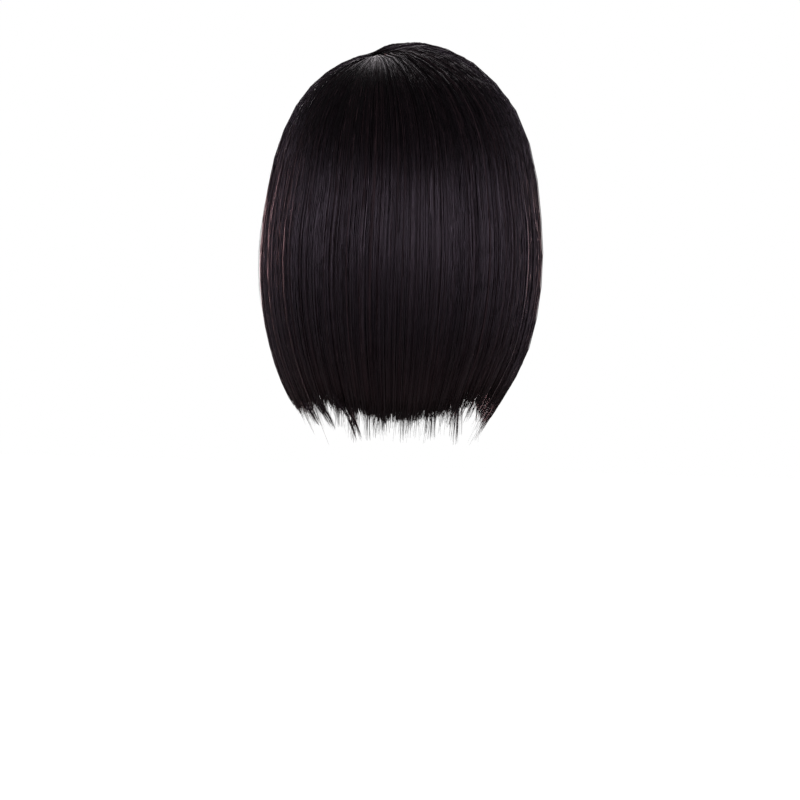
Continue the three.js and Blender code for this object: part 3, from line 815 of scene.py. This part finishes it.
def hair_material():
    """Black hair in shades up to dark brown, the blackest the glossiest, with browner tips, dull roots
    and fine lines along each strand."""
    material = bpy.data.materials.new("black_hair")
    material.use_nodes = True
    nodes, links = material.node_tree.nodes, material.node_tree.links
    shader = nodes["Principled BSDF"]
    tones = placed_tones(material)

    def ranged(value, bounds, results):
        """A value brought from its bounds to others."""
        node = nodes.new("ShaderNodeMapRange")
        names = "From Min", "From Max", "To Min", "To Max"
        for name, number in zip(names, (*bounds, *results)):
            node.inputs[name].default_value = number
        links.new(value, node.inputs["Value"])
        return node.outputs["Result"]

    strand_colour = colour_ramp(
        material,
        tones["Shade"],
        (0, (0.0022, 0.0017, 0.0020)),
        (0.6, (0.0050, 0.0038, 0.0042)),
        (0.88, (0.0130, 0.0092, 0.0090)),
        (1, (0.0340, 0.0245, 0.0225)),
    )
    browner = nodes.new("ShaderNodeMix")
    browner.data_type = "RGBA"
    browner.inputs["B"].default_value = (0.016, 0.0095, 0.0075, 1)
    links.new(ranged(tones["Along"], (0.80, 1), (0, 0.6)), browner.inputs["Factor"])
    links.new(strand_colour, browner.inputs["A"])
    links.new(browner.outputs["Result"], shader.inputs["Base Color"])
    rougher = nodes.new("ShaderNodeMath")
    links.new(ranged(tones["Shade"], (0, 1), (0.17, 0.50)), rougher.inputs[0])
    links.new(ranged(tones["Along"], (0, 0.04), (0.12, 0)), rougher.inputs[1])
    links.new(rougher.outputs[0], shader.inputs["Roughness"])
    shader.inputs["Specular IOR Level"].default_value = 0.16
    links.new(ranged(tones["Shade"], (0, 1), (1, 0)), shader.inputs["Coat Weight"])
    shader.inputs["Coat Roughness"].default_value = 0.31
    stretched = nodes.new("ShaderNodeCombineXYZ")
    links.new(tones["Across"], stretched.inputs["X"])
    links.new(tones["Along"], stretched.inputs["Y"])
    lines = nodes.new("ShaderNodeTexNoise")
    lines.inputs["Scale"].default_value = 5
    lines.inputs["Detail"].default_value = 3
    links.new(stretched.outputs[0], lines.inputs["Vector"])
    bump = nodes.new("ShaderNodeBump")
    bump.inputs["Strength"].default_value = 0.35
    bump.inputs["Distance"].default_value = 0.0001
    links.new(lines.outputs["Fac"], bump.inputs["Height"])
    links.new(bump.outputs["Normal"], shader.inputs["Normal"])
    return material


black_hair = hair_material()

# Sections: piece, node, edges in degrees, locks, raggedness of the hem, seed
SECTIONS = (
    ("hair_back_strands", "hair_back", (-BACK_EDGE, BACK_EDGE), 9, 0.0015, 11),
    ("hair_left_strands", "hair_left", (BACK_EDGE, FACE_EDGE), 12, 0.005, 47),
    ("hair_right_strands", "hair_right", (-FACE_EDGE, -BACK_EDGE), 12, 0.005, 83),
)

# Wisps below the hem: node, degrees between which they start, hairs, drop below the hem, and the degrees
# by which their tips swing
WISPS = (
    ("hair_left", (57, 63), 60, 0.016, -11),
    ("hair_left", (46, 52), 70, 0.019, -11),
    ("hair_left", (37, 41), 24, 0.013, -9),
    ("hair_back", (28, 33), 60, 0.022, -9),
    ("hair_back", (-33, -30), 14, 0.014, 2),
    ("hair_right", (-48, -42), 14, 0.014, 3),
    ("hair_right", (-60, -54), 18, 0.014, -4),
)
WISP_RAGGED = 0.001
LOWER_ROWS = 0.45  # share of the outer hairs that start in the rows below whorl and parting
LOWEST_ROW, ROW_BUNCHING = 0.8, 1.2  # share of the dome down to which these go, and how they crowd above
HEM_TIP, HEM_TIP_SPREAD = 0.001, 0.0035  # where the hairs at the hem end above it
LONG_TIPS, LONGEST_TIP = 0.06, 0.016  # share of the hairs at the hem that hang longer, and by how much


def cover_starts(rng, count):
    lower = rng.random(count) < LOWER_ROWS
    in_rows = rng.uniform(0, LOWEST_ROW, count) ** ROW_BUNCHING
    return np.where(lower, in_rows, rng.uniform(0, ROOT_SHARE, count))


def hem_tips(rng, count):
    usual = rng.normal(HEM_TIP, HEM_TIP_SPREAD, count)
    longer = rng.random(count) < LONG_TIPS
    return usual - LONGEST_TIP * longer * rng.random(count)


for name, node, edges, locks, ragged, seed in SECTIONS:
    rng = np.random.default_rng(seed)
    cover = strands(
        rng, edges, locks, ragged,
        count=1400,
        rings=16,
        starts=cover_starts,
        depths=lambda r, n: 1 - 0.30 * r.random(n) ** 1.5,
        radius=lambda r, n: r.uniform(0.00019, 0.00034, n),
        tips=lambda r, n: np.abs(r.normal(0, 0.0022, n)) - 0.001,
        clump=lambda r, n: r.uniform(0.2, 0.9, n),
    )
    hem_hairs = strands(
        rng, edges, locks, ragged,
        count=1000,
        rings=6,
        starts=lambda r, n: 1 + r.uniform(0.055, 0.085, n),
        depths=lambda r, n: r.uniform(0.1, 1.0, n),
        radius=lambda r, n: r.uniform(0.00010, 0.00018, n),
        tips=hem_tips,
        clump=lambda r, n: r.uniform(0.3, 1.1, n),
    )
    inner = strands(
        rng, edges, locks, ragged,
        count=400,
        rings=9,
        starts=lambda r, n: r.uniform(0.4, 1.0, n),
        depths=lambda r, n: r.uniform(0.0, 0.12, n),
        radius=lambda r, n: r.uniform(0.00020, 0.00034, n),
        tips=lambda r, n: np.abs(r.normal(0, 0.006, n)),
        clump=lambda r, n: r.uniform(0.2, 0.9, n),
    )
    loose = strands(
        rng, edges, locks, ragged,
        count=30,
        rings=12,
        starts=lambda r, n: r.uniform(0.1, 0.9, n),
        depths=lambda r, n: 1 + r.uniform(-0.06, 0.02, n),
        radius=lambda r, n: r.uniform(0.00008, 0.00013, n),
        tips=lambda r, n: r.uniform(0.02, 0.14, n),
        clump=lambda r, n: np.zeros(n),
        stray=8,
    )
    wisps = [
        strands(
            rng, wisp_edges, 1, WISP_RAGGED,
            count=hairs,
            rings=8,
            starts=lambda r, n: 1 + r.uniform(0.06, 0.09, n),
            depths=lambda r, n: r.uniform(0.3, 0.9, n),
            radius=lambda r, n: r.uniform(0.00012, 0.00022, n),
            tips=lambda r, n: -drop * r.random(n) ** 0.5,
            clump=lambda r, n: r.uniform(1.4, 2.4, n),
            lean=np.radians(swing),
            lock_tufts=2,
        )
        for section, wisp_edges, hairs, drop, swing in WISPS
        if section == node
    ]
    parts = joined(cover, hem_hairs, inner, loose, *wisps, hair_body(rng, edges))
    piece = mesh_piece(name, *parts, black_hair)
    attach(piece, "root")
    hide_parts(node)


# Nape hair
# The short under-layer, sewn to the back of the cap. It hangs close behind the back section, and its thin
# tips show below the hem.

NAPE_LINING_ROWS = np.array(
    [(-0.215, 0.058, 0.063, 0.070), (-0.245, 0.057, 0.060, 0.066), (-0.275, 0.057, 0.058, 0.064)],
    OUTLINE_COLUMNS,
)
NAPE_EDGE = np.radians(44)
NAPE_TOP, NAPE_ROWS = -0.128, 0.04  # the highest row of roots, and the height of the rows
NAPE_HEM, NAPE_LOWEST = -0.238, -0.270
NAPE_HAIRS, NAPE_RINGS, NAPE_TUFTS = 1300, 9, 44
NAPE_RADII = 0.00014, 0.00026
NAPE_THICKNESS, NAPE_TIP_THICKNESS = 0.005, 0.002
NAPE_TUFT_LENGTHS, NAPE_TUFT_HOLDS = (0.3, 1), (0.5, 1.0)
NAPE_TUFT_LEAN, NAPE_HAIR_LEAN = 0.07, 0.04  # spread of the tips' swing, in radians
NAPE_GATHERS, NAPE_LEANS = 0.5, 0.6  # shares of the length from where the tufts gather and the tips swing
NAPE_THICKENS, NAPE_THINS, NAPE_TAPERS = 0.2, 0.5, 0.2  # shares of the length at the root and at the tip

nape_lining = Surface(np.concatenate((root_rows[widest - 1:], NAPE_LINING_ROWS)))


def nape_hairs(rng, count, rings):
    """The under-layer as tubes, gathered into tufts of uneven length."""
    azimuth = rng.uniform(-NAPE_EDGE, NAPE_EDGE, count)
    tuft_edges = tuft_bounds(rng, -NAPE_EDGE, NAPE_EDGE, NAPE_TUFTS)
    tuft = np.clip(np.searchsorted(tuft_edges, azimuth) - 1, 0, NAPE_TUFTS - 1)
    middle = lerp(tuft_edges[:-1], tuft_edges[1:], rng.uniform(*TUFT_MIDDLES, NAPE_TUFTS))
    tuft_length = rng.uniform(*NAPE_TUFT_LENGTHS, NAPE_TUFTS) ** 1.5
    end = lerp(NAPE_HEM, NAPE_LOWEST, tuft_length[tuft] * rng.random(count) ** 0.8)
    top = NAPE_TOP - rng.uniform(0, NAPE_ROWS, count)
    share = np.linspace(0, 1, rings)[None]
    level = lerp(top[:, None], end[:, None], share)
    hold = rng.uniform(*NAPE_TUFT_HOLDS, NAPE_TUFTS)[tuft][:, None]
    gather = hold * eased(share, NAPE_GATHERS, 1)
    lean = rng.normal(0, NAPE_TUFT_LEAN, NAPE_TUFTS)[tuft] + rng.normal(0, NAPE_HAIR_LEAN, count)
    swing = lean[:, None] * eased(share, NAPE_LEANS, 1)
    path = lerp(azimuth[:, None], middle[tuft][:, None], gather) + swing
    outward = np.stack((np.sin(path), np.cos(path), 0 * path), -1)
    body = eased(share, 0, NAPE_THICKENS) * eased(1 - share, 0, NAPE_THINS)
    thickness = lerp(NAPE_TIP_THICKNESS, NAPE_THICKNESS, body)
    depth = rng.random(count)[:, None] * thickness
    points = nape_lining.at_level(path, level) + outward * depth[..., None]
    thin = lerp(TIP_THIN, 1, eased(1 - share, 0, NAPE_TAPERS))
    radii = rng.uniform(*NAPE_RADII, count)[:, None] * thin
    tones = rng.integers(0, TONES, count)
    return tubes(points, outward, radii, STRAND_SIDES, tones, np.repeat(share, count, 0))


rng = np.random.default_rng(131)
nape_piece = mesh_piece("hair_nape_strands", *nape_hairs(rng, NAPE_HAIRS, NAPE_RINGS), black_hair)
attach(nape_piece, "root")
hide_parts("hair_nape")


# Studio
# A white floor below the wig, a white surround, and soft light: a large box beside the camera, two boxes
# high in front that light the whorl, a low warm wall at either side, which rims the edges, and a front fill.

FLOOR_LEVEL = -0.472
FLOOR_HALF_WIDTH = 6
SURROUND_LIGHT = 0.06  # of the white surround, which itself is seen as white
VIEW_CENTRE = Vector((-0.0024, 0, -0.237))
VIEW_DISTANCE = 1.5
VIEW_WIDTH = 0.560
VIEW_ROLL = np.radians(1.8)
SENSOR_WIDTH = 36  # millimetres

scene = bpy.context.scene
scene.view_settings.view_transform = "Standard"

floor_mesh = bpy.data.meshes.new("floor")
shape = bmesh.new()
bmesh.ops.create_grid(shape, x_segments=1, y_segments=1, size=FLOOR_HALF_WIDTH)
bmesh.ops.translate(shape, verts=shape.verts, vec=(0, 0, FLOOR_LEVEL))
shape.to_mesh(floor_mesh)
shape.free()
floor = bpy.data.objects.new("floor", floor_mesh)
scene.collection.objects.link(floor)
white = bpy.data.materials.new("white_floor")
white.use_nodes = True
paint = white.node_tree.nodes["Principled BSDF"]
paint.inputs["Base Color"].default_value = (0.5, 0.5, 0.5, 1)
paint.inputs["Emission Color"].default_value = (1, 1, 1, 1)
floor_rays = white.node_tree.nodes.new("ShaderNodeLightPath")
white.node_tree.links.new(floor_rays.outputs["Is Camera Ray"], paint.inputs["Emission Strength"])
floor_mesh.materials.append(white)

world = bpy.data.worlds.new("white_surround")
scene.world = world
world.use_nodes = True
nodes, links = world.node_tree.nodes, world.node_tree.links
lighting = nodes["Background"]
lighting.inputs["Color"].default_value = (1, 1, 1, 1)
lighting.inputs["Strength"].default_value = SURROUND_LIGHT
seen = nodes.new("ShaderNodeBackground")
seen.inputs["Color"].default_value = (1, 1, 1, 1)
rays = nodes.new("ShaderNodeLightPath")
either = nodes.new("ShaderNodeMixShader")
links.new(rays.outputs["Is Camera Ray"], either.inputs["Fac"])
links.new(lighting.outputs[0], either.inputs[1])
links.new(seen.outputs[0], either.inputs[2])
links.new(either.outputs[0], nodes["World Output"].inputs["Surface"])

# Lights: name, place, what each is turned to, width, height, power, colour
SOFT_BOXES = (
    ("key_box", (0.0, 1.75, -0.10), (0, 0, -0.12), 1.7, 1.1, 26.5, (1.0, 0.80, 1.04)),
    ("top_box", (-0.15, -1.2, 1.15), (0, 0, -0.05), 1.3, 1.0, 6.2, (1.0, 0.92, 0.97)),
    ("back_box", (-0.1, -1.55, 0.5), (0, 0, -0.05), 0.7, 0.4, 1.7, (1.0, 0.92, 0.97)),
    ("left_wall", (1.1, -1.5, 0.02), (0, 0, -0.12), 1.2, 0.4, 9, (1.0, 0.54, 0.57)),
    ("right_wall", (-1.1, -1.5, 0.0), (0, 0, -0.15), 1.2, 0.45, 6.5, (1.0, 0.62, 0.64)),
    ("front_fill", (0.15, -1.8, 0.1), (0, 0, -0.12), 1.2, 1.2, 12, (1.0, 0.95, 0.95)),
)

for name, place, aim, width, height, power, colour in SOFT_BOXES:
    light = bpy.data.lights.new(name, "AREA")
    light.shape = "RECTANGLE"
    light.size, light.size_y = width, height
    light.energy = power
    light.color = colour
    box = bpy.data.objects.new(name, light)
    scene.collection.objects.link(box)
    box.location = place
    box.rotation_euler = (Vector(aim) - Vector(place)).to_track_quat("-Z", "Y").to_euler()
    box.visible_camera = False

camera_data = bpy.data.cameras.new("camera")
camera_data.sensor_width = SENSOR_WIDTH
camera_data.lens = SENSOR_WIDTH * VIEW_DISTANCE / VIEW_WIDTH
camera = bpy.data.objects.new("camera", camera_data)
scene.collection.objects.link(camera)
view_place = Matrix.Translation(VIEW_CENTRE + Vector((0, VIEW_DISTANCE, 0)))
level_view = Matrix(((-1, 0, 0), (0, 0, 1), (0, 1, 0))).to_4x4()
camera.matrix_world = view_place @ level_view @ Matrix.Rotation(VIEW_ROLL, 4, "Z")
scene.camera = camera
